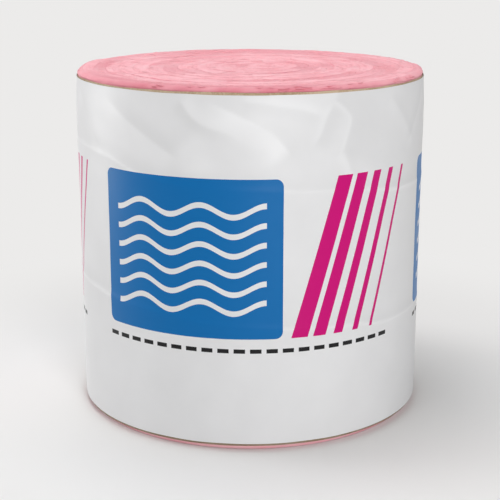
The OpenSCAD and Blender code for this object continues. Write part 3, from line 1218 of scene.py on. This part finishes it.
def painted_floor(colour):
    """Matte paint on a smooth floor. Far from the roll the camera sees its plain colour without shade."""
    material, add = new_material("matte_floor_paint")
    away = add(VECTOR, [add(COORDINATES).outputs["Object"]], "LENGTH")
    far = add(RANGE, [away, FADE_START, FADE_END, 0.0, 1.0], **SMOOTH)
    seen = seen_directly(add)
    bounced = (*(FLOOR_BOUNCE * share for share in colour), 1.0)
    paint = add(MIX, {0: seen, 6: bounced, 7: (*colour, 1.0)}, **COLOUR)
    matte = add(PRINCIPLED, {"Base Color": paint, "Roughness": 0.9})
    plain = add("ShaderNodeEmission", [(*colour, 1.0), 1.0])
    share = add(MATH, [far, seen], "MULTIPLY")
    add(SURFACE, [add("ShaderNodeMixShader", [share, matte, plain])])
    return material


class INSULATION_OT_stage(bpy.types.Operator):
    """Set up the floor, the lamps and the camera"""

    bl_idname = "insulation.stage"
    bl_label = "Stage"

    def execute(self, context):
        stage = context.scene.insulation_stage
        scene = context.scene
        scene.view_settings.view_transform = "Standard"

        mesh = bpy.data.meshes.new("floor")
        corners = [(FLOOR_REACH * x, FLOOR_REACH * y, 0) for x, y in ((-1, -1), (1, -1), (1, 1), (-1, 1))]
        mesh.from_pydata(corners, [], [(0, 1, 2, 3)])
        mesh.materials.append(painted_floor(stage.floor))
        floor = bpy.data.objects.new("floor", mesh)
        scene.collection.objects.link(floor)

        aim = Vector((0, 0, WOOL_HIGH.z / 2))
        for box in SOFTBOXES:
            lamp = bpy.data.lights.new(box.name, "AREA")
            lamp.shape = "RECTANGLE"
            lamp.size, lamp.size_y = box.size
            lamp.energy = box.power
            holder = bpy.data.objects.new(box.name, lamp)
            holder.location = box.place
            holder.rotation_euler = (aim - Vector(box.place)).to_track_quat("-Z", "Y").to_euler()
            scene.collection.objects.link(holder)

        world = bpy.data.worlds.new("studio")
        world.use_nodes = True
        world.node_tree.nodes.clear()
        add = partial(add_node, world.node_tree)
        ambient = add("ShaderNodeBackground", [(1.0, 1.0, 1.0, 1.0), AMBIENT])
        backdrop = add("ShaderNodeBackground", [(*stage.floor, 1.0), 1.0])
        mixed = add("ShaderNodeMixShader", [seen_directly(add), ambient, backdrop])
        add("ShaderNodeOutputWorld", [mixed])
        scene.world = world

        camera = bpy.data.cameras.new("camera")
        camera.sensor_width = 36.0
        camera.lens = stage.lens
        holder = bpy.data.objects.new("camera", camera)
        holder.location = (0, -stage.camera_distance, stage.camera_height)
        holder.rotation_euler = (math.pi / 2 - stage.camera_pitch, 0, 0)
        scene.collection.objects.link(holder)
        scene.camera = holder
        return {"FINISHED"}


class INSULATION_PT_roll(bpy.types.Panel):
    """The steps that dress the roll"""

    bl_idname = "INSULATION_PT_roll"
    bl_label = "Insulation roll"
    bl_space_type = "VIEW_3D"
    bl_region_type = "UI"
    bl_category = "Insulation roll"

    def draw(self, context):
        for operator in OPERATORS:
            self.layout.operator(operator.bl_idname)


SETTINGS = {
    "insulation_wool": WoolSettings,
    "insulation_fibres": FibreSettings,
    "insulation_facing": FacingSettings,
    "insulation_film": FilmSettings,
    "insulation_stage": StageSettings,
}
OPERATORS = (
    INSULATION_OT_stage,
    INSULATION_OT_wool,
    INSULATION_OT_loose_wool,
    INSULATION_OT_facing,
    INSULATION_OT_film,
)


def register():
    for group in SETTINGS.values():
        bpy.utils.register_class(group)
    for name, group in SETTINGS.items():
        setattr(bpy.types.Scene, name, bpy.props.PointerProperty(type=group))
    for operator in OPERATORS:
        bpy.utils.register_class(operator)
    bpy.utils.register_class(INSULATION_PT_roll)


def unregister():
    bpy.utils.unregister_class(INSULATION_PT_roll)
    for operator in reversed(OPERATORS):
        bpy.utils.unregister_class(operator)
    for name in SETTINGS:
        delattr(bpy.types.Scene, name)
    for group in SETTINGS.values():
        bpy.utils.unregister_class(group)


def main():
    register()
    bpy.ops.insulation.stage()
    bpy.ops.insulation.wool()
    bpy.ops.insulation.loose_wool()
    bpy.ops.insulation.facing()
    bpy.ops.insulation.film()


if __name__ == "__main__":
    main()
